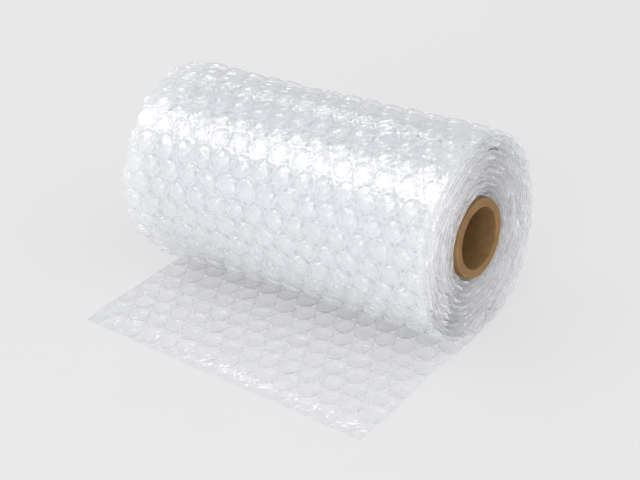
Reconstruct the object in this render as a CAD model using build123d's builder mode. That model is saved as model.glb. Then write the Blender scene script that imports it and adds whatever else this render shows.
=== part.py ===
from build123d import *

import os
from math import acos, asin, cos, degrees, radians, sin, sqrt

# A part-used roll of large-bubble cushioning film on a paper core.
# The roll lies on its side. The film's free end comes round the back of the roll, passes under
# it and lies flat on the ground in front, so the roll sits on its own tail.
# Origin: the middle of the core's bore. +X runs along the axis, +Z is up and the cut end is at -Y.

# ---- paper core ----
core_bore_diameter = 51.0
core_wall = 7.0
core_overhang = 1.0  # how far the core stands out of the wound film at each end
core_edge_chamfer = 0.5  # eased saw cut on the rims

# ---- bubble film ----
web_width = 300.0
web_height = 5.0  # from backing film to bubble top, as wound
turn_count = 11
core_to_film_clearance = 0.2  # radial
start_edge_angle = 80.0  # where the film's inner edge lies on the core, from +Y towards +Z

# ---- how the roll lies ----
flat_half_width = 14.0  # half the flat spot that the roll's weight presses, along Y
tail_length_right = 171.0  # from under the axis to the cut edge, at the +X side
tail_length_left = 150.0  # and at the -X side, because the cut runs out of square

# ---- worked out from the values above ----
core_length = web_width + 2 * core_overhang
core_bore_radius = core_bore_diameter / 2
core_outer_radius = core_bore_radius + core_wall
film_bore_radius = core_outer_radius + core_to_film_clearance
roll_radius = film_bore_radius + turn_count * web_height
ground = -sqrt(roll_radius**2 - flat_half_width**2)
tail_top = ground + web_height

os.makedirs("parts", exist_ok=True)


# ---- cardboard_core: a wound paper tube ----
with BuildPart() as cardboard_core:
    with BuildSketch(Plane.YZ.offset(-core_length / 2)):
        Circle(core_outer_radius)
        Circle(core_bore_radius, mode=Mode.SUBTRACT)
    extrude(amount=core_length)
    rims = cardboard_core.faces().filter_by(Axis.X)
    chamfer(rims.edges(), length=core_edge_chamfer)


# ---- bubble_wrap: the wound turns and the free tail, one web ----
# The outline is a four-centre volute. It climbs the back from the flat spot, and each quarter
# turn moves the centre and shrinks the radius by a quarter of the web's height, so the arcs
# stay tangent and the outline comes back one web inside itself, on top of the tail.
step = web_height / 4
last_radius = roll_radius - 3 * step
back_lift_angle = degrees(asin(flat_half_width / roll_radius))
front_meeting_angle = degrees(acos((step - tail_top) / last_radius))  # from straight down
front_meeting = (-last_radius * sin(radians(front_meeting_angle)), tail_top)

# The first turn climbs over the film's own inner edge and lands on the core further round.
climb_radius = film_bore_radius + web_height
climb_angle = start_edge_angle + degrees(acos(film_bore_radius / climb_radius))
climb_top = (climb_radius * cos(radians(start_edge_angle)), climb_radius * sin(radians(start_edge_angle)))
climb_foot = (film_bore_radius * cos(radians(climb_angle)), film_bore_radius * sin(radians(climb_angle)))

with BuildPart() as bubble_wrap:
    with BuildSketch(Plane.YZ.offset(-web_width / 2)):
        with BuildLine():
            CenterArc((0, 0), roll_radius, -90 + back_lift_angle, 90 - back_lift_angle)
            CenterArc((step, 0), roll_radius - step, 0, 90)
            CenterArc((step, step), roll_radius - 2 * step, 90, 90)
            CenterArc((0, step), last_radius, 180, 90 - front_meeting_angle)
            Polyline(
                front_meeting,
                (-tail_length_right, tail_top),
                (-tail_length_right, ground),
                (flat_half_width, ground),
            )
        make_face()
        Circle(film_bore_radius, mode=Mode.SUBTRACT)
        with BuildLine():
            Polyline((0, 0), climb_foot, climb_top, close=True)
        make_face(mode=Mode.SUBTRACT)
    extrude(amount=web_width)

    # the cut across the tail, out of square
    with BuildSketch(Plane.XY.offset(ground)):
        with BuildLine():
            Polyline(
                (web_width / 2, -tail_length_right),
                (-web_width / 2, -tail_length_left),
                (-web_width / 2, -tail_length_right),
                close=True,
            )
        make_face()
    extrude(amount=web_height, mode=Mode.SUBTRACT)


cardboard_core.part.label = "cardboard_core"
bubble_wrap.part.label = "bubble_wrap"
export_step(cardboard_core.part, "parts/cardboard_core.step")
export_step(bubble_wrap.part, "parts/bubble_wrap.step")

print(f"roll radius {roll_radius:.2f} mm, ground at z = {ground:.2f} mm")
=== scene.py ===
import bpy
import random
from math import atan2, cos, exp, hypot, pi, radians, sin
from mathutils import Matrix, Vector


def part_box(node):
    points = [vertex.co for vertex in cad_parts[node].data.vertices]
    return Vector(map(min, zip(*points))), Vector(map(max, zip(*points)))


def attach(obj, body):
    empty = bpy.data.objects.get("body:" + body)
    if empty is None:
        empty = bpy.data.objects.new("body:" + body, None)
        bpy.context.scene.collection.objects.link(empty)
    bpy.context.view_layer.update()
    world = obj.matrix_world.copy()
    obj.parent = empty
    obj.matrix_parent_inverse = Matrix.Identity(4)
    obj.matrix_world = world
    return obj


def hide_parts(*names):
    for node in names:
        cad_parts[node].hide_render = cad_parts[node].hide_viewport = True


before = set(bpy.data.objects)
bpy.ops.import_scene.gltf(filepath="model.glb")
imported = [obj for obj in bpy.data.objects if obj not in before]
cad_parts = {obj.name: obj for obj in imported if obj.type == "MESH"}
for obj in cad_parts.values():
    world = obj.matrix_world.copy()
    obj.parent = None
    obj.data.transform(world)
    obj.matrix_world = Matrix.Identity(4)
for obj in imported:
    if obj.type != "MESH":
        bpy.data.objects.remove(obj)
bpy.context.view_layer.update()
bpy.ops.object.select_all(action="DESELECT")

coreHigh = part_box("cardboard_core")[1]
filmLow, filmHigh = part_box("bubble_wrap")
halfWidth = filmHigh.x
rollRadius = filmHigh.y
tailReach = -filmLow.y
ground = filmLow.z

tiny = 0.00001  # places nearer to each other than this are the same
mergeDistance = 0.0001


# small helpers

def activate(piece):
    bpy.ops.object.select_all(action="DESELECT")
    piece.select_set(True)
    bpy.context.view_layer.objects.active = piece


def startEdit(piece, kind):
    activate(piece)
    bpy.ops.object.mode_set(mode="EDIT")
    bpy.ops.mesh.select_mode(type=kind)


def endEdit():
    bpy.ops.object.mode_set(mode="OBJECT")


def applyAll(piece):
    activate(piece)
    for modifier in list(piece.modifiers):
        bpy.ops.object.modifier_apply(modifier=modifier.name)


def applyPlace(piece):
    activate(piece)
    bpy.ops.object.transform_apply(location=True, rotation=True, scale=True)


def copyOf(piece, name):
    twin = piece.copy()
    twin.data = piece.data.copy()
    twin.name = name
    bpy.context.collection.objects.link(twin)
    return twin


# one bubble with its share of the two films

web = {
    "pitch": 0.0205,  # between bubble centres across the web
    "height": 0.005,  # from the backing film to the ground under the bubbles
    "facets": 12,  # sides of a bubble
    "profile": [(0.0088, 0.0003), (0.0083, 0.0026), (0.0062, 0.0041)],  # radius, height
    "crown": 0.0046,  # height of its top
    "bulge": 0.0005,  # how far the backing film bows out behind a bubble
    "slack": 0.5,  # the share of its height that a soft bubble may lose
    "spread": (0.94, 1.13),  # from the narrowest bubble to the widest
    "lean": 0.0014,  # how far a bubble's top may lean
    "tilt": 0.06,  # how far it may slope
    # the bright line along a slit edge is painted: the film is drawn more solid there
    "slitDepth": 0.0012,  # width of the bright line along a slit edge
    "slitReach": 0.009,  # how far in from a slit edge the bubbles have lost their air
    "slitSag": 0.3,  # the share of their height that is gone at the edge
}
baseRadius, baseHeight = web["profile"][0]
rowStep = web["pitch"] * cos(radians(30))


def hexagonRadius(angle):
    # the cell's edge seen from its middle, with flat sides towards the web's two edges
    turned = (angle - pi / 2 + pi / 6) % (pi / 3) - pi / 6
    return web["pitch"] / 2 / cos(turned)


def addWeldedRim(piece):
    # the flat film round the bubble, out to the cell's six sides
    stretch = 1.2
    startEdit(piece, "EDGE")
    bpy.ops.mesh.select_all(action="DESELECT")
    bpy.ops.mesh.select_non_manifold()
    bpy.ops.mesh.extrude_edges_move()
    bpy.ops.transform.resize(value=(stretch, stretch, 1))
    endEdit()
    for vertex in piece.data.vertices:
        if hypot(vertex.co.x, vertex.co.y) > baseRadius * (1 + stretch) / 2:
            angle = atan2(vertex.co.y, vertex.co.x)
            vertex.co.x = hexagonRadius(angle) * cos(angle)
            vertex.co.y = hexagonRadius(angle) * sin(angle)


def moveMiddle(piece, height):
    for vertex in piece.data.vertices:
        if hypot(vertex.co.x, vertex.co.y) < tiny:
            vertex.co.z = height


def makeBubbleCell():
    halfFacet = radians(360 / web["facets"] / 2)
    bpy.ops.mesh.primitive_circle_add(vertices=web["facets"], radius=baseRadius, fill_type="NGON",
                                      rotation=(0, 0, halfFacet))
    cell = bpy.context.object
    cell.name = "bubbleCell"
    applyPlace(cell)
    startEdit(cell, "FACE")
    bpy.ops.mesh.select_all(action="SELECT")
    bpy.ops.transform.translate(value=(0, 0, baseHeight))
    for (radius, height), (nextRadius, nextHeight) in zip(web["profile"], web["profile"][1:]):
        bpy.ops.mesh.inset(thickness=(radius - nextRadius) * cos(halfFacet), depth=0)
        bpy.ops.transform.translate(value=(0, 0, nextHeight - height))
    bpy.ops.mesh.poke()
    endEdit()
    moveMiddle(cell, web["crown"])
    addWeldedRim(cell)

    # the backing film below it, bowed out a little behind the bubble
    bpy.ops.mesh.primitive_circle_add(vertices=web["facets"], radius=baseRadius, fill_type="TRIFAN",
                                      rotation=(0, 0, halfFacet))
    backing = bpy.context.object
    applyPlace(backing)
    moveMiddle(backing, -web["bulge"])
    addWeldedRim(backing)
    startEdit(backing, "EDGE")
    bpy.ops.mesh.select_all(action="SELECT")
    bpy.ops.mesh.normals_make_consistent(inside=False)
    bpy.ops.mesh.flip_normals()
    endEdit()

    # the first material is for the bubble, the second for what lies flat
    for piece in (cell, backing):
        piece.data.materials.append(clearFilm)
        piece.data.materials.append(flatFilm)
    for face in backing.data.polygons:
        face.material_index = 1
    for face in cell.data.polygons:
        if max(cell.data.vertices[index].co.z for index in face.vertices) < baseHeight + tiny:
            face.material_index = 1
    activate(cell)
    backing.select_set(True)
    bpy.ops.object.join()
    # marks the slit edges, where a painted bright line goes
    cell.data.attributes.new("slitEdgeShine", "FLOAT", "POINT")
    return cell


# the line that the film is wound on

winding = {
    "turns": 10.47,  # from the bottom of the outer turn to the edge that lies on the core
    "bubbleRoom": 0.0038,  # between the outer turn's backing film and the roll's outside
    "coreGap": 0.0002,  # between the innermost film and the core
    "flatAngle": radians(13),  # half the arc that the roll's weight presses flat
    "flare": 0.003, "flareReach": 0.06,  # the outer turns open out towards their left edge
}
widestTurn = 0.25  # the roll's back, where its radius is measured
backingRadius = rollRadius - winding["bubbleRoom"]
windingStep = (backingRadius - coreHigh.z - winding["coreGap"]) / (winding["turns"] - widestTurn)
tailHeight = ground + web["height"]
flatDrop = backingRadius + windingStep * widestTurn + tailHeight


def windingPoint(turn):
    # the backing film's place after so many turns up the back, over and round, in the roll's section
    angle = 2 * pi * turn
    fromBottom = (angle + pi) % (2 * pi) - pi
    radius = backingRadius - windingStep * (turn - widestTurn)
    radius -= flatDrop * exp(-(fromBottom / winding["flatAngle"]) ** 2)
    return radius * sin(angle), -radius * cos(angle)


def makeWindingLine(name, startTurn, endTurn, tail):
    pointsPerTurn = 60
    spacing = 2 * pi * backingRadius / pointsPerTurn
    places = [(-step * spacing, tailHeight) for step in range(int(tail / spacing) + 1, 0, -1)]
    places += [windingPoint(startTurn + step / pointsPerTurn)
               for step in range(int((endTurn - startTurn) * pointsPerTurn) + 2)]
    curve = bpy.data.curves.new(name, "CURVE")
    curve.dimensions = "2D"
    spline = curve.splines.new("NURBS")
    spline.points.add(len(places) - 1)
    for point, (across, up) in zip(spline.points, places):
        point.co = (across, up, 0, 1)
    spline.order_u = 4
    spline.use_endpoint_u = True
    spline.resolution_u = 6
    line = bpy.data.objects.new(name, curve)
    bpy.context.collection.objects.link(line)
    return line


def windingLength(startTurn, endTurn):
    steps = 400
    total = 0.0
    last = Vector(windingPoint(startTurn))
    for index in range(1, steps + 1):
        place = Vector(windingPoint(startTurn + (endTurn - startTurn) * index / steps))
        total += (place - last).length
        last = place
    return total


# a length of web, laid flat: X along it, Y across it, Z up from the backing film

looseEnd = {
    "skew": 0.021,  # the cut runs out of square by this across the web
    "drop": 0.0047,  # from the backing film's level on the ground down to the cut edge
    "reach": 0.020,  # how far from the cut edge the loose end starts to sink
    "bands": 6,  # lines across it there, so that it sinks smoothly
    "cornerReach": 0.042,  # the same from its left corner, which lies quite flat
    "sideSink": 0.6,  # the share of the drop that its slit sides sink by
    "bow": 2,  # how many times more its backing film bows behind the bubbles
}


def repeatCell(cell, name, start, end, left, right):
    # a little more web than is needed, to be cut to size
    leadIn = 0.4  # of a row, before the web's start
    piece = copyOf(cell, name)
    rows = int((end - start) / rowStep / 2 + 2) * 2
    firstColumn = int(left / web["pitch"] - 2) * web["pitch"]
    columns = int((right - left) / web["pitch"]) + 4
    for label, count, offset in (("pair", 2, (rowStep, web["pitch"] / 2, 0)),
                                 ("rows", rows // 2, (rowStep * 2, 0, 0)),
                                 ("columns", columns, (0, web["pitch"], 0))):
        array = piece.modifiers.new(label, "ARRAY")
        array.count = count
        array.use_relative_offset = False
        array.use_constant_offset = True
        array.constant_offset_displace = offset
    piece.location = (start - rowStep * leadIn, firstColumn, 0)
    applyAll(piece)
    applyPlace(piece)
    return piece


def varyBubbles(piece, cellSize, press, seed):
    # each bubble gets its own width, fill and lean
    chance = random.Random(seed)
    mesh = piece.data
    for first in range(0, len(mesh.vertices), cellSize):
        cellVertices = mesh.vertices[first:first + cellSize]
        middle = sum((vertex.co for vertex in cellVertices), Vector()) / cellSize
        fill = press * (1 - web["slack"] * chance.random() ** 2)
        wide = chance.uniform(*web["spread"])
        leanX = chance.uniform(-1, 1) * web["lean"]
        leanY = chance.uniform(-1, 1) * web["lean"]
        tiltX = chance.uniform(-web["tilt"], web["tilt"])
        tiltY = chance.uniform(-web["tilt"], web["tilt"])
        for vertex in cellVertices:
            if hypot(vertex.co.x - middle.x, vertex.co.y - middle.y) < baseRadius + tiny:
                vertex.co.x = middle.x + (vertex.co.x - middle.x) * wide
                vertex.co.y = middle.y + (vertex.co.y - middle.y) * wide
            rise = vertex.co.z - baseHeight
            if rise > 0:
                share = rise / web["crown"]
                away = vertex.co - middle
                vertex.co.x += leanX * share
                vertex.co.y += leanY * share
                slope = (tiltX * away.x + tiltY * away.y) * share
                vertex.co.z = baseHeight + min(rise * fill + slope, web["crown"])


def cutWeb(place, away, clear=False):
    bpy.ops.mesh.select_all(action="SELECT")
    bpy.ops.mesh.bisect(plane_co=place, plane_no=away, clear_outer=clear)


def trimWeb(piece, start, end, left, right, skew):
    # the web is slit straight through its bubbles, and a turn ends where the next one goes on
    endAway = Vector((-1, -skew / (right - left), 0)).normalized()
    sides = [((0, left, 0), (0, -1, 0)), ((0, right, 0), (0, 1, 0))]
    ends = [((end, 0, 0), (1, 0, 0)), ((start, right, 0), endAway)]
    startEdit(piece, "VERT")
    bpy.ops.mesh.select_all(action="SELECT")
    bpy.ops.mesh.remove_doubles(threshold=mergeDistance)
    for place, away in sides + ends:
        cutWeb(place, away, clear=True)
    if start < 0:
        for band in range(1, looseEnd["bands"] + 1):
            cutWeb((start + band * looseEnd["reach"] / looseEnd["bands"], right, 0), endAway)
    # a line of edges just in from each slit side keeps the painted bright line narrow
    for place, away in sides:
        cutWeb(Vector(place) - Vector(away) * web["slitDepth"], away)
    endEdit()


def sideShare(place):
    # 1 at the web's slit sides, and nothing where the bubbles still hold their air
    return max(0.0, 1 - (halfWidth - abs(place.y)) / web["slitReach"])


def slackenSides(piece):
    # bubbles that were slit have lost their air, and a painted bright line along the film's slit edge
    # stands in for the light it catches
    line = piece.data.attributes["slitEdgeShine"]
    for vertex in piece.data.vertices:
        if vertex.co.z > 0:
            vertex.co.z *= 1 - web["slitSag"] * sideShare(vertex.co)
        if halfWidth - abs(vertex.co.y) < tiny:
            line.data[vertex.index].value = 1.0


def settleTail(piece, start, left, right, skew):
    # the loose end bows a little more between its bubbles, and sinks to the ground at its edges
    for vertex in piece.data.vertices:
        if vertex.co.x < 0:
            fromCut = vertex.co.x - start - skew * (right - vertex.co.y) / (right - left)
            fromCorner = hypot(fromCut, vertex.co.y - left)
            sink = max(0.0, 1 - fromCut / looseEnd["reach"], 1 - fromCorner / looseEnd["cornerReach"])
            sink = min(sink, 1.0)
            limp = min(sideShare(vertex.co), 1.0)
            sink = max(sink * sink * (3 - 2 * sink), looseEnd["sideSink"] * limp ** 2)
            if vertex.co.z < 0:
                vertex.co.z *= looseEnd["bow"]
            vertex.co.z += (looseEnd["drop"] - vertex.co.z) * sink
            vertex.co.z = min(vertex.co.z, looseEnd["drop"])


def flareLeft(piece, left):
    # the turn opens out towards its left edge, but not where the roll lies on the ground
    for vertex in piece.data.vertices:
        share = max(0.0, 1 - (vertex.co.y - left) / winding["flareReach"])
        if share > 0 and vertex.co.x > 0:
            opening = winding["flare"] * share * (1 - cos(vertex.co.x / backingRadius)) / 2
            vertex.co.z += opening
            vertex.co.y -= opening


# dents, ripples and waves in the film

ruffles = {  # size of the folds, how deep they are, and which way they push
    "crumple": {"size": 0.006, "depth": 0.0021, "axis": "Z"},
    "ripple": {"size": 0.012, "depth": 0.0024, "axis": "Z"},
    "wander": {"size": 0.06, "depth": 0.005, "axis": "Y"},
}
crumpleFrom, crumpleRise = 0.001, 0.002  # height up a bubble where dents start, and over which they grow


def crumpleWeight(place):
    return min(1.0, max(0.0, place.z - crumpleFrom) / crumpleRise)


def rippleWeight(place):
    return sideShare(place) ** 1.5


def wanderWeight(place):
    return 1.0  # the same everywhere


def ruffle(piece, kind, weightOf, shift):
    group = piece.vertex_groups.new(name=kind)
    for vertex in piece.data.vertices:
        weight = weightOf(vertex.co)
        if weight > 0:
            group.add([vertex.index], weight, "REPLACE")
    label = kind + piece.name
    texture = bpy.data.textures.new(label, "CLOUDS")
    texture.noise_scale = ruffles[kind]["size"]
    texture.noise_depth = 1
    holder = bpy.data.objects.new(label, None)
    bpy.context.collection.objects.link(holder)
    holder.location = shift
    bpy.context.view_layer.update()
    displace = piece.modifiers.new(label, "DISPLACE")
    displace.texture = texture
    displace.texture_coords = "OBJECT"
    displace.texture_coords_object = holder
    displace.vertex_group = kind
    displace.direction = ruffles[kind]["axis"]
    displace.strength = ruffles[kind]["depth"]
    displace.mid_level = 0.5
    applyAll(piece)
    bpy.data.objects.remove(holder)


def windWeb(piece, startTurn, endTurn, tail):
    # turned so that the curve carries X along the line, with bubbles on its outer side
    line = makeWindingLine("windingLine", startTurn, endTurn, tail)
    piece.rotation_euler = (pi / 2, 0, 0)
    piece.location.x = -line.data.splines[0].points[0].co.x if tail else 0
    applyPlace(piece)
    wind = piece.modifiers.new("wind", "CURVE")
    wind.object = line
    wind.deform_axis = "POS_X"
    applyAll(piece)
    bpy.data.objects.remove(line)
    piece.rotation_euler = (pi / 2, 0, pi / 2)
    applyPlace(piece)
    bpy.ops.object.shade_smooth_by_angle(angle=radians(60))


# materials

def newMaterial(name):
    material = bpy.data.materials.new(name)
    material.use_nodes = True
    return material, material.node_tree.nodes, material.node_tree.links


def placeNode(nodes, kind, x, y, **values):
    node = nodes.new(kind)
    node.location = (x, y)
    for key, value in values.items():
        setattr(node, key, value)
    return node


crinkleShape = {"waveDetail": 2, "creaseDetail": 3, "distortion": 0.8, "hazeWidth": 0.16}


def makeCrinkleGroup():
    # small creases and soft waves in thin film, and the haze that goes with them
    group = bpy.data.node_groups.new("filmCrinkle", "ShaderNodeTree")
    for label, value in (("Crease Scale", 160.0), ("Wave Scale", 55.0), ("Crease", 0.6)):
        socket = group.interface.new_socket(label, in_out="INPUT", socket_type="NodeSocketFloat")
        socket.default_value = value
    group.interface.new_socket("Vector", in_out="INPUT", socket_type="NodeSocketVector")
    for label in ("Height", "Haze"):
        group.interface.new_socket(label, in_out="OUTPUT", socket_type="NodeSocketFloat")
    nodes, links = group.nodes, group.links
    source = placeNode(nodes, "NodeGroupInput", -900, 0)
    wave = placeNode(nodes, "ShaderNodeTexNoise", -600, 200)
    wave.inputs["Detail"].default_value = crinkleShape["waveDetail"]
    crease = placeNode(nodes, "ShaderNodeTexNoise", -600, -100)
    crease.inputs["Detail"].default_value = crinkleShape["creaseDetail"]
    crease.inputs["Distortion"].default_value = crinkleShape["distortion"]
    centred = placeNode(nodes, "ShaderNodeMath", -380, -100, operation="SUBTRACT")
    centred.inputs[1].default_value = 0.5
    fold = placeNode(nodes, "ShaderNodeMath", -200, -100, operation="ABSOLUTE")
    sharp = placeNode(nodes, "ShaderNodeMath", -20, -100, operation="MULTIPLY")
    total = placeNode(nodes, "ShaderNodeMath", 160, 100, operation="ADD")
    haze = placeNode(nodes, "ShaderNodeMapRange", 160, -200)
    haze.inputs["From Min"].default_value = crinkleShape["hazeWidth"]
    haze.inputs["From Max"].default_value = 0.0
    out = placeNode(nodes, "NodeGroupOutput", 400, 0)
    links.new(source.outputs["Vector"], wave.inputs["Vector"])
    links.new(source.outputs["Vector"], crease.inputs["Vector"])
    links.new(source.outputs["Wave Scale"], wave.inputs["Scale"])
    links.new(source.outputs["Crease Scale"], crease.inputs["Scale"])
    links.new(crease.outputs["Fac"], centred.inputs[0])
    links.new(centred.outputs[0], fold.inputs[0])
    links.new(fold.outputs[0], sharp.inputs[0])
    links.new(source.outputs["Crease"], sharp.inputs[1])
    links.new(wave.outputs["Fac"], total.inputs[0])
    links.new(sharp.outputs[0], total.inputs[1])
    links.new(fold.outputs[0], haze.inputs["Value"])
    links.new(total.outputs[0], out.inputs["Height"])
    links.new(haze.outputs["Result"], out.inputs["Haze"])
    return group


filmLooks = {
    # solid: how much is seen of it face on, edge on and where it is creased; slit: how much more is seen
    # along slit edges, a painted bright line
    "clearFilm": {"color": (0.81, 0.815, 0.84), "ior": 2.3, "specular": 1.0, "creaseScale": 110.0,
                  "waveScale": 85.0, "crease": 0.6, "bump": 0.0015, "rough": (0.03, 0.11), "blend": 0.2,
                  "solid": (0.11, 1.0, 0.05), "slit": 0.35, "shinesThrough": 0.92},
    # the flat film's much lighter tone than the bubble film is partly its own tone and partly painted
    # light, which lifts the loose end out of the shade it lies in on the floor
    "flatFilm": {"color": (0.97, 0.97, 0.98), "ior": 2.3, "specular": 1.0, "creaseScale": 70.0,
                 "waveScale": 50.0, "crease": 0.35, "bump": 0.0017, "rough": (0.03, 0.09), "blend": 0.12,
                 "solid": (0.06, 0.75, 0.04), "slit": 0.35, "shinesThrough": 0.92},
    "edgeFilm": {"color": (0.88, 0.88, 0.89), "ior": 2.0, "specular": 0.8, "creaseScale": 150.0,
                 "waveScale": 70.0, "crease": 0.7, "bump": 0.0014, "rough": (0.06, 0.2), "blend": 0.2,
                 "solid": (0.26, 0.9, 0.10), "slit": 0.6, "shinesThrough": 0.9},
    "milkyFilm": {"color": (0.80, 0.805, 0.83), "ior": 1.5, "specular": 0.9, "creaseScale": 110.0,
                  "waveScale": 60.0, "crease": 0.5, "bump": 0.0012, "rough": (0.12, 0.3), "blend": 0.2,
                  "solid": (1.0, 1.0, 0.0), "slit": 0.0, "shinesThrough": 0.8},
}


def makeFilm(name, crinkle, look):
    material, nodes, links = newMaterial(name)
    shader = nodes["Principled BSDF"]
    shader.inputs["Base Color"].default_value = (*look["color"], 1)
    shader.inputs["IOR"].default_value = look["ior"]
    shader.inputs["Specular IOR Level"].default_value = look["specular"]
    place = placeNode(nodes, "ShaderNodeTexCoord", -1100, 0)
    effect = placeNode(nodes, "ShaderNodeGroup", -850, 0, node_tree=crinkle)
    effect.inputs["Crease Scale"].default_value = look["creaseScale"]
    effect.inputs["Wave Scale"].default_value = look["waveScale"]
    effect.inputs["Crease"].default_value = look["crease"]
    links.new(place.outputs["Object"], effect.inputs["Vector"])
    bump = placeNode(nodes, "ShaderNodeBump", -300, -300)
    bump.inputs["Distance"].default_value = look["bump"]
    links.new(effect.outputs["Height"], bump.inputs["Height"])
    links.new(bump.outputs["Normal"], shader.inputs["Normal"])
    rough = placeNode(nodes, "ShaderNodeMapRange", -560, -60)
    rough.inputs["To Min"].default_value = look["rough"][0]
    rough.inputs["To Max"].default_value = look["rough"][1]
    links.new(effect.outputs["Haze"], rough.inputs["Value"])
    links.new(rough.outputs["Result"], shader.inputs["Roughness"])

    # film looks more solid where it is seen edge on and where it is creased, and along its slit edges it is
    # drawn more solid as a painted bright line
    edge = placeNode(nodes, "ShaderNodeLayerWeight", -850, 300)
    edge.inputs["Blend"].default_value = look["blend"]
    body = placeNode(nodes, "ShaderNodeMapRange", -560, 300)
    body.inputs["To Min"].default_value = look["solid"][0]
    body.inputs["To Max"].default_value = look["solid"][1]
    links.new(edge.outputs["Facing"], body.inputs["Value"])
    crease = placeNode(nodes, "ShaderNodeMath", -560, 120, operation="MULTIPLY")
    crease.inputs[1].default_value = look["solid"][2]
    links.new(effect.outputs["Haze"], crease.inputs[0])
    # painted highlight: the slit edges are drawn more solid, so they show as a bright line
    line = placeNode(nodes, "ShaderNodeAttribute", -1100, -300, attribute_name="slitEdgeShine")
    hazeAndSlitShine = placeNode(nodes, "ShaderNodeMath", -560, -300, operation="MULTIPLY_ADD")
    hazeAndSlitShine.inputs[1].default_value = look["slit"]
    links.new(line.outputs["Fac"], hazeAndSlitShine.inputs[0])
    links.new(crease.outputs[0], hazeAndSlitShine.inputs[2])
    total = placeNode(nodes, "ShaderNodeMath", -380, 200, operation="ADD", use_clamp=True)
    links.new(body.outputs["Result"], total.inputs[0])
    links.new(hazeAndSlitShine.outputs[0], total.inputs[1])

    # most of the light that falls on it goes through
    path = placeNode(nodes, "ShaderNodeLightPath", -850, 600)
    lit = placeNode(nodes, "ShaderNodeMapRange", -560, 560)
    lit.inputs["To Min"].default_value = 1.0
    lit.inputs["To Max"].default_value = 1 - look["shinesThrough"]
    links.new(path.outputs["Is Shadow Ray"], lit.inputs["Value"])
    alpha = placeNode(nodes, "ShaderNodeMath", -180, 300, operation="MULTIPLY")
    links.new(total.outputs[0], alpha.inputs[0])
    links.new(lit.outputs["Result"], alpha.inputs[1])
    links.new(alpha.outputs[0], shader.inputs["Alpha"])
    return material


kraftLook = {
    "dark": (0.24, 0.133, 0.050), "light": (0.36, 0.208, 0.085), "rough": 0.8, "specular": 0.3,
    "fibreScale": 150.0, "fibreDetail": 6, "fibreRange": (0.25, 0.75), "fibreDepth": 0.0002,
    "plyScale": 700.0, "plyRange": (0.35, 0.6), "plyTone": (0.78, 1.05),
    "seamPitch": 0.105, "seamWidth": 0.012,  # metres along the core, and a share of that
    "seamTone": 0.72,
}


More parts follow.
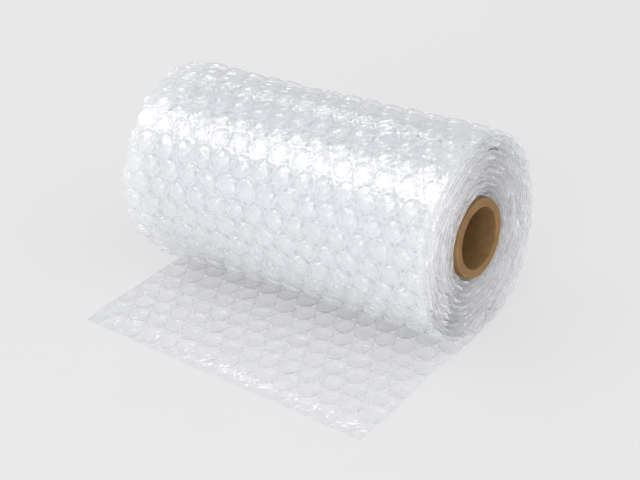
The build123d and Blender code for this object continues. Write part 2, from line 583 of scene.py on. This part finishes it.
def makeKraft():
    material, nodes, links = newMaterial("kraftCard")
    shader = nodes["Principled BSDF"]
    shader.inputs["Roughness"].default_value = kraftLook["rough"]
    shader.inputs["Specular IOR Level"].default_value = kraftLook["specular"]
    place = placeNode(nodes, "ShaderNodeTexCoord", -1500, 0)
    fibre = placeNode(nodes, "ShaderNodeTexNoise", -800, 200)
    fibre.inputs["Scale"].default_value = kraftLook["fibreScale"]
    fibre.inputs["Detail"].default_value = kraftLook["fibreDetail"]
    links.new(place.outputs["Object"], fibre.inputs["Vector"])
    ramp = placeNode(nodes, "ShaderNodeValToRGB", -560, 200)
    ramp.color_ramp.elements[0].color = (*kraftLook["dark"], 1)
    ramp.color_ramp.elements[1].color = (*kraftLook["light"], 1)
    ramp.color_ramp.elements[0].position = kraftLook["fibreRange"][0]
    ramp.color_ramp.elements[1].position = kraftLook["fibreRange"][1]
    links.new(fibre.outputs["Fac"], ramp.inputs["Fac"])

    # the plies show as fine rings on the cut ends
    axes = placeNode(nodes, "ShaderNodeSeparateXYZ", -1300, -200)
    links.new(place.outputs["Object"], axes.inputs[0])
    section = placeNode(nodes, "ShaderNodeCombineXYZ", -1100, -100)
    links.new(axes.outputs["Y"], section.inputs["Y"])
    links.new(axes.outputs["Z"], section.inputs["Z"])
    radius = placeNode(nodes, "ShaderNodeVectorMath", -920, -100, operation="LENGTH")
    links.new(section.outputs[0], radius.inputs[0])
    ring = placeNode(nodes, "ShaderNodeCombineXYZ", -740, -100)
    links.new(radius.outputs["Value"], ring.inputs["X"])
    ply = placeNode(nodes, "ShaderNodeTexNoise", -560, -100)
    ply.inputs["Scale"].default_value = kraftLook["plyScale"]
    ply.inputs["Detail"].default_value = 1
    links.new(ring.outputs[0], ply.inputs["Vector"])
    plyTone = placeNode(nodes, "ShaderNodeMapRange", -380, -100)
    plyTone.inputs["From Min"].default_value = kraftLook["plyRange"][0]
    plyTone.inputs["From Max"].default_value = kraftLook["plyRange"][1]
    plyTone.inputs["To Min"].default_value = kraftLook["plyTone"][0]
    plyTone.inputs["To Max"].default_value = kraftLook["plyTone"][1]
    links.new(ply.outputs["Fac"], plyTone.inputs["Value"])

    # the strips of card are wound in a long spiral, and their seam shows faintly
    angle = placeNode(nodes, "ShaderNodeMath", -1100, -400, operation="ARCTAN2")
    links.new(axes.outputs["Z"], angle.inputs[0])
    links.new(axes.outputs["Y"], angle.inputs[1])
    share = placeNode(nodes, "ShaderNodeMath", -920, -400, operation="DIVIDE")
    share.inputs[1].default_value = 2 * pi
    links.new(angle.outputs[0], share.inputs[0])
    along = placeNode(nodes, "ShaderNodeMath", -740, -400, operation="MULTIPLY_ADD")
    along.inputs[1].default_value = 1 / kraftLook["seamPitch"]
    links.new(axes.outputs["X"], along.inputs[0])
    links.new(share.outputs[0], along.inputs[2])
    turn = placeNode(nodes, "ShaderNodeMath", -560, -400, operation="FRACT")
    links.new(along.outputs[0], turn.inputs[0])
    seam = placeNode(nodes, "ShaderNodeMapRange", -380, -400)
    seam.inputs["From Max"].default_value = kraftLook["seamWidth"]
    seam.inputs["To Min"].default_value = kraftLook["seamTone"]
    seam.inputs["To Max"].default_value = 1.0
    links.new(turn.outputs[0], seam.inputs["Value"])
    tone = placeNode(nodes, "ShaderNodeMath", -200, -200, operation="MULTIPLY")
    links.new(plyTone.outputs["Result"], tone.inputs[0])
    links.new(seam.outputs["Result"], tone.inputs[1])
    shade = placeNode(nodes, "ShaderNodeVectorMath", -200, 200, operation="SCALE")
    links.new(ramp.outputs["Color"], shade.inputs[0])
    links.new(tone.outputs[0], shade.inputs["Scale"])
    links.new(shade.outputs["Vector"], shader.inputs["Base Color"])

    bump = placeNode(nodes, "ShaderNodeBump", -300, -600)
    bump.inputs["Distance"].default_value = kraftLook["fibreDepth"]
    links.new(fibre.outputs["Fac"], bump.inputs["Height"])
    links.new(bump.outputs["Normal"], shader.inputs["Normal"])
    return material


def wear(piece, slotName, *finishes):
    piece.data.materials.clear()
    for finish in finishes:
        piece.data.materials.append(finish)
    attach(piece, "root")


# the studio

view = {
    "azimuth": 39.1, "elevation": 28.6, "roll": -5.0,  # degrees
    "aim": (0.005, -0.018, -0.0315), "distance": 1.276, "lens": 85.6,
}

studio = {
    "floorSize": 9.0, "floorGap": 0.0002, "floorColor": 0.88, "floorRough": 0.9, "floorSpecular": 0.1,
    "backdrop": (0.815, 0.815, 0.815), "skyColor": (0.97, 0.98, 1.0),
    "horizon": 1.26, "zenith": 1.02,  # strength of the soft light from all round
    "darkSide": (-0.63, 0.77, 0.0), "darkShare": 0.44,  # it is weaker from behind the roll
    "floorGlow": 0.63,  # how far the floor is seen as the backdrop's plain tone
    "lamps": {  # place, size, power, and whether it only shows as a shine
        "keyLamp": ((-0.64, -0.38, 1.22), 0.66, 1.2, False),
        "sheenLamp": ((-0.66, -0.50, 1.18), 0.78, 5.0, True),
        "fillLamp": ((0.4, -1.8, 0.40), 0.9, 7.0, False),
        "rimLamp": ((1.4, -0.1, 1.0), 0.6, 1.3, False),
        "backLamp": ((-0.8, 1.0, 0.85), 0.3, 1.0, False),
        "glintLamp": ((-0.35, -0.5, 1.35), 0.12, 0.8, True),
    },
}


def makeFloor():
    bpy.ops.mesh.primitive_plane_add(size=studio["floorSize"], location=(0, 0, ground - studio["floorGap"]))
    floorPiece = bpy.context.object
    floorPiece.name = "floor"
    material, nodes, links = newMaterial("paleFloor")
    shader = nodes["Principled BSDF"]
    grey = studio["floorColor"]
    shader.inputs["Base Color"].default_value = (grey, grey, grey, 1)
    shader.inputs["Roughness"].default_value = studio["floorRough"]
    shader.inputs["Specular IOR Level"].default_value = studio["floorSpecular"]
    # part of what is seen of the floor is the backdrop's own tone, so the shadow stays soft
    path = placeNode(nodes, "ShaderNodeLightPath", -600, 400)
    seen = placeNode(nodes, "ShaderNodeMath", -400, 400, operation="MAXIMUM")
    links.new(path.outputs["Is Camera Ray"], seen.inputs[0])
    links.new(path.outputs["Is Glossy Ray"], seen.inputs[1])
    either = placeNode(nodes, "ShaderNodeMath", -220, 400, operation="MAXIMUM")
    links.new(seen.outputs[0], either.inputs[0])
    links.new(path.outputs["Is Transmission Ray"], either.inputs[1])
    share = placeNode(nodes, "ShaderNodeMath", -40, 400, operation="MULTIPLY")
    share.inputs[1].default_value = studio["floorGlow"]
    links.new(either.outputs[0], share.inputs[0])
    tone = placeNode(nodes, "ShaderNodeEmission", 20, 200)
    tone.inputs["Color"].default_value = (*studio["backdrop"], 1)
    mix = placeNode(nodes, "ShaderNodeMixShader", 300, 200)
    links.new(share.outputs[0], mix.inputs["Fac"])
    links.new(shader.outputs["BSDF"], mix.inputs[1])
    links.new(tone.outputs["Emission"], mix.inputs[2])
    links.new(mix.outputs["Shader"], nodes["Material Output"].inputs["Surface"])
    floorPiece.data.materials.append(material)


def makeWorld():
    world = bpy.data.worlds.new("studioWorld")
    bpy.context.scene.world = world
    world.use_nodes = True
    nodes, links = world.node_tree.nodes, world.node_tree.links
    ambient = nodes["Background"]
    ambient.inputs["Color"].default_value = (*studio["skyColor"], 1)
    place = placeNode(nodes, "ShaderNodeTexCoord", -900, -100)
    axes = placeNode(nodes, "ShaderNodeSeparateXYZ", -700, -100)
    links.new(place.outputs["Generated"], axes.inputs[0])
    dome = placeNode(nodes, "ShaderNodeMapRange", -500, -100)
    dome.inputs["To Min"].default_value = studio["horizon"]
    dome.inputs["To Max"].default_value = studio["zenith"]
    links.new(axes.outputs["Z"], dome.inputs["Value"])
    side = placeNode(nodes, "ShaderNodeVectorMath", -700, -350, operation="DOT_PRODUCT")
    side.inputs[1].default_value = studio["darkSide"]
    links.new(place.outputs["Generated"], side.inputs[0])
    dim = placeNode(nodes, "ShaderNodeMapRange", -500, -350)
    dim.inputs["From Min"].default_value = -1.0
    dim.inputs["To Min"].default_value = 1.0
    dim.inputs["To Max"].default_value = studio["darkShare"]
    links.new(side.outputs["Value"], dim.inputs["Value"])
    strength = placeNode(nodes, "ShaderNodeMath", -250, -100, operation="MULTIPLY")
    links.new(dome.outputs["Result"], strength.inputs[0])
    links.new(dim.outputs["Result"], strength.inputs[1])
    links.new(strength.outputs[0], ambient.inputs["Strength"])
    backdrop = placeNode(nodes, "ShaderNodeBackground", 0, -200)
    backdrop.inputs["Color"].default_value = (*studio["backdrop"], 1)
    path = placeNode(nodes, "ShaderNodeLightPath", -400, 200)
    mix = placeNode(nodes, "ShaderNodeMixShader", 250, 100)
    links.new(path.outputs["Is Camera Ray"], mix.inputs["Fac"])
    links.new(ambient.outputs["Background"], mix.inputs[1])
    links.new(backdrop.outputs["Background"], mix.inputs[2])
    links.new(mix.outputs["Shader"], nodes["World Output"].inputs["Surface"])


def makeLamp(name, place, size, power, shineOnly):
    data = bpy.data.lights.new(name, "AREA")
    data.shape = "SQUARE"
    data.size = size
    data.energy = power
    lamp = bpy.data.objects.new(name, data)
    bpy.context.collection.objects.link(lamp)
    lamp.location = place
    lamp.rotation_euler = (-Vector(place)).to_track_quat("-Z", "Y").to_euler()
    lamp.visible_diffuse = not shineOnly


def makeCamera():
    azimuth, elevation = radians(view["azimuth"]), radians(view["elevation"])
    back = Vector((sin(azimuth) * cos(elevation), -cos(azimuth) * cos(elevation), sin(elevation)))
    right = (-back).cross(Vector((0, 0, 1))).normalized()
    up = right.cross(-back)
    turned = Matrix.Rotation(radians(view["roll"]), 4, back)
    right, up = turned @ right, turned @ up
    data = bpy.data.cameras.new("camera")
    data.lens = view["lens"]
    data.sensor_width = 36
    camera = bpy.data.objects.new("camera", data)
    bpy.context.collection.objects.link(camera)
    place = Vector(view["aim"]) + back * view["distance"]
    camera.matrix_world = Matrix((
        (right.x, up.x, back.x, place.x), (right.y, up.y, back.y, place.y),
        (right.z, up.z, back.z, place.z), (0, 0, 0, 1)))
    bpy.context.scene.camera = camera


# making it all

makeCamera()
makeWorld()
makeFloor()
for name, (place, size, power, shineOnly) in studio["lamps"].items():
    makeLamp(name, place, size, power, shineOnly)
print("studio ready")

crinkle = makeCrinkleGroup()
clearFilm = makeFilm("clearFilm", crinkle, filmLooks["clearFilm"])
milkyFilm = makeFilm("milkyFilm", crinkle, filmLooks["milkyFilm"])
flatFilm = makeFilm("flatFilm", crinkle, filmLooks["flatFilm"])
edgeFilm = makeFilm("edgeFilm", crinkle, filmLooks["edgeFilm"])
clearPair = (clearFilm, flatFilm)
edgePair = (edgeFilm, edgeFilm)
milkyPair = (milkyFilm, milkyFilm)
kraft = makeKraft()
print("materials ready")

cell = makeBubbleCell()
print("bubble cell ready,", len(cell.data.polygons), "faces")

edgeDepth = 0.026  # how deep from each end the inner turns are modelled
clearDepth = 0.013  # how deep from each end they can be seen into
whole = (-halfWidth, halfWidth)
middlePart = (clearDepth - halfWidth, halfWidth - clearDepth)
leftPart = (-halfWidth, edgeDepth - halfWidth)
rightPart = (halfWidth - edgeDepth, halfWidth)
allTurns = winding["turns"]

turnPieces = {  # first and last turn, the part across the web, film, fullness, seed
    "outerTurn": ((0, 1), whole, clearPair, 1.12, 1),
    "secondTurn": ((1, 2), whole, clearPair, 0.85, 2),
    "thirdTurn": ((2, 3), middlePart, milkyPair, 0.45, 3),
    "leftEdges": ((2, allTurns), leftPart, edgePair, 0.9, 4),
    "rightEdges": ((2, allTurns), rightPart, edgePair, 0.9, 5),
}
flaredTurns = 2  # how many turns open out at the left


def makeWoundWeb(name, tail=0.0):
    (startTurn, endTurn), (left, right), finishes, press, seed = turnPieces[name]
    skew = looseEnd["skew"] if tail else 0.0
    start, end = -tail, windingLength(startTurn, endTurn)
    piece = repeatCell(cell, name, start, end, left, right)
    varyBubbles(piece, len(cell.data.vertices), press, seed)
    trimWeb(piece, start, end, left, right, skew)
    slackenSides(piece)
    shift = (0.31 * seed, 0.17 * seed, 0)  # so that no two webs are ruffled alike
    ruffle(piece, "crumple", crumpleWeight, shift)
    ruffle(piece, "ripple", rippleWeight, shift)
    ruffle(piece, "wander", wanderWeight, shift)
    if tail:
        settleTail(piece, start, left, right, skew)
    if startTurn < flaredTurns:
        flareLeft(piece, left)
    windWeb(piece, startTurn, endTurn, tail)
    wear(piece, "clear_film", *finishes)
    print(name, len(piece.data.polygons), "faces")
    return piece


outerTurn = makeWoundWeb("outerTurn", tailReach)
for name in ("secondTurn", "thirdTurn", "leftEdges", "rightEdges"):
    makeWoundWeb(name)

woundBody = {"sides": 96, "fromTurn": 2.9, "coreGap": 0.0006}


def makeWoundBody():
    # the middles of the inner turns, seen only as white depth behind their edges
    outer = backingRadius - windingStep * woundBody["fromTurn"]
    inner = coreHigh.z + woundBody["coreGap"]
    bpy.ops.mesh.primitive_cylinder_add(vertices=woundBody["sides"], radius=outer,
                                        depth=2 * (halfWidth - clearDepth),
                                        end_fill_type="NOTHING", rotation=(0, pi / 2, 0))
    body = bpy.context.object
    body.name = "woundTurns"
    applyPlace(body)
    startEdit(body, "EDGE")
    bpy.ops.mesh.select_all(action="DESELECT")
    bpy.ops.mesh.select_non_manifold()
    rings = int((outer - inner) / windingStep)
    for ring in range(rings):
        now, after = outer - ring * (outer - inner) / rings, outer - (ring + 1) * (outer - inner) / rings
        bpy.ops.mesh.extrude_edges_move()
        bpy.ops.transform.resize(value=(1, after / now, after / now))
    bpy.ops.mesh.bridge_edge_loops()
    bpy.ops.mesh.select_all(action="SELECT")
    bpy.ops.mesh.normals_make_consistent(inside=False)
    endEdit()
    bpy.ops.object.shade_smooth_by_angle(angle=radians(40))
    wear(body, "clear_film", milkyFilm)


makeWoundBody()
print("wound turns ready")

bpy.data.objects.remove(cell)
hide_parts("bubble_wrap")

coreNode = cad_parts["cardboard_core"]
coreNode.data.materials.clear()
coreNode.data.materials.append(kraft)

scene = bpy.context.scene
scene.view_settings.view_transform = "Standard"
scene.cycles.transparent_max_bounces = 24
scene.cycles.max_bounces = 8
scene.cycles.diffuse_bounces = 3
scene.cycles.glossy_bounces = 3
